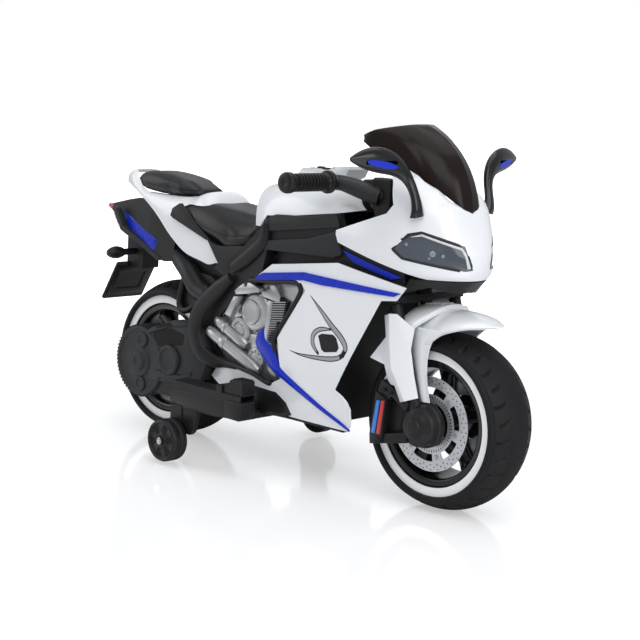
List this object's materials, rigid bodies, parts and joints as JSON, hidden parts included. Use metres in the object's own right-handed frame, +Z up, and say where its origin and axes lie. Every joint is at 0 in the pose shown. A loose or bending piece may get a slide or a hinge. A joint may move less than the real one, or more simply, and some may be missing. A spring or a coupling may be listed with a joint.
{
  "type": "kids electric motorbike",
  "caption": "Faired ride-on motorbike with raked steering, rolling wheels, training wheels, throttle pedal, padded seats and push controls",
  "frame": {"origin": "centre of the footprint on the ground, midway between tail light and front tyre", "axes": "+X forward, +Z up, the right side with the pedal is -Y"},
  "size_m": [1.137, 0.466, 0.6837],
  "materials": {
    "white_plastic": "smooth gloss",
    "black_plastic": "satin moulded",
    "grey_plastic": "fine grain",
    "blue_plastic": "gloss",
    "silver_plastic": "metallic coat",
    "red_lens": "gloss",
    "smoked": "gloss smoked",
    "lens": "clear tinted",
    "tyre": "moulded tread",
    "rubber": "ribbed",
    "vinyl": "grained vinyl",
    "steel": "plain",
    "mirror": "polished",
    "board": "printed board",
    "gear": "natural nylon"
  },
  "bodies": {
    "chassis": {"fairing_right": "white_plastic", "fairing_left": "white_plastic", "tank_cover": "white_plastic", "nose_cowl": "white_plastic", "tail_cowl": "white_plastic", "main_frame": "black_plastic", "frame_spars": "black_plastic", "side_panels": "black_plastic", "nose_lower_panel": "black_plastic", "headlight_housing": "black_plastic", "mirror_arms": "black_plastic", "tail_housing": "black_plastic", "plate_holder": "black_plastic", "gear_case_right": "black_plastic", "gear_case_left": "black_plastic", "footrests": "black_plastic", "training_brackets": "black_plastic", "charge_socket": "black_plastic", "battery": "black_plastic", "dash_panel": "grey_plastic", "fairing_stripes": "blue_plastic", "fairing_sweeps": "blue_plastic", "nose_blades": "blue_plastic", "tail_blades": "blue_plastic", "mirror_inserts": "blue_plastic", "engine_covers": "silver_plastic", "tail_light": "red_lens", "rear_indicators": "black_plastic", "windscreen": "smoked", "headlight_lenses": "lens", "seat": "vinyl", "pillion_pad": "vinyl", "rear_axle": "steel", "screws": "steel", "drive_motor": "steel", "mirror_glasses": "mirror", "control_board": "board"},
    "steering": {"steering_stem": "black_plastic", "fork_legs": "black_plastic", "fork_covers": "white_plastic", "front_fender": "white_plastic", "front_axle": "steel", "handlebar": "black_plastic", "grips": "rubber"},
    "front_wheel": {"front_tyre": "tyre", "front_rim": "black_plastic", "front_rings": "white_plastic", "front_discs": "silver_plastic"},
    "rear_wheel": {"rear_tyre": "tyre", "rear_rim": "black_plastic", "rear_rings": "white_plastic", "wheel_gear": "gear"},
    "training_right": {"training_wheel_right": "black_plastic"},
    "training_left": {"training_wheel_left": "black_plastic"},
    "pedal": {"throttle_pedal": "black_plastic"},
    "pinion": {"motor_pinion": "gear"},
    "power_key": {"power_button": "red_lens"},
    "horn_key": {"horn_button": "red_lens"},
    "rocker": {"direction_rocker": "red_lens"}
  },
  "joints": [
    {"name": "steering_turn", "type": "hinge", "parent": "chassis", "child": "steering", "pos_m": [0.408, 0, 0.1605], "axis": [-0.3206, 0, 0.9472], "range_deg": [-15, 15]},
    {"name": "front_roll", "type": "hinge", "parent": "steering", "child": "front_wheel", "pos_m": [0.408, 0, 0.1605], "axis": [0, 1, 0], "continuous": true},
    {"name": "rear_roll", "type": "hinge", "parent": "chassis", "child": "rear_wheel", "pos_m": [-0.312, 0, 0.1605], "axis": [0, 1, 0], "continuous": true},
    {"name": "training_right_roll", "type": "hinge", "parent": "chassis", "child": "training_right", "pos_m": [-0.11, -0.212, 0.048], "axis": [0, 1, 0], "continuous": true},
    {"name": "training_left_roll", "type": "hinge", "parent": "chassis", "child": "training_left", "pos_m": [-0.11, 0.212, 0.048], "axis": [0, 1, 0], "continuous": true},
    {"name": "pinion_turn", "type": "hinge", "parent": "chassis", "child": "pinion", "pos_m": [-0.234, 0.072, 0.1605], "axis": [0, 1, 0], "continuous": true},
    {"name": "pedal_tip", "type": "hinge", "parent": "chassis", "child": "pedal", "pos_m": [0.0065, -0.17, 0.1682], "axis": [0, 1, 0], "range_deg": [0, 8], "stiffness_Nm_per_rad": 1.5, "springref_deg": -5.73},
    {"name": "power_push", "type": "slide", "parent": "chassis", "child": "power_key", "axis": [0, 0, -1], "range_m": [0, 0.003], "stiffness_N_per_m": 250, "springref_m": -0.002},
    {"name": "horn_push", "type": "slide", "parent": "chassis", "child": "horn_key", "axis": [0, 0, -1], "range_m": [0, 0.003], "stiffness_N_per_m": 250, "springref_m": -0.002},
    {"name": "direction_tip", "type": "hinge", "parent": "chassis", "child": "rocker", "pos_m": [0.09312, 0.01672, 0.581], "axis": [1, 0, 0], "range_deg": [-8, 8]}
  ],
  "couplings": [
    {"joint": "pinion_turn", "follows": "rear_roll", "ratio": -4.5714}
  ]
}
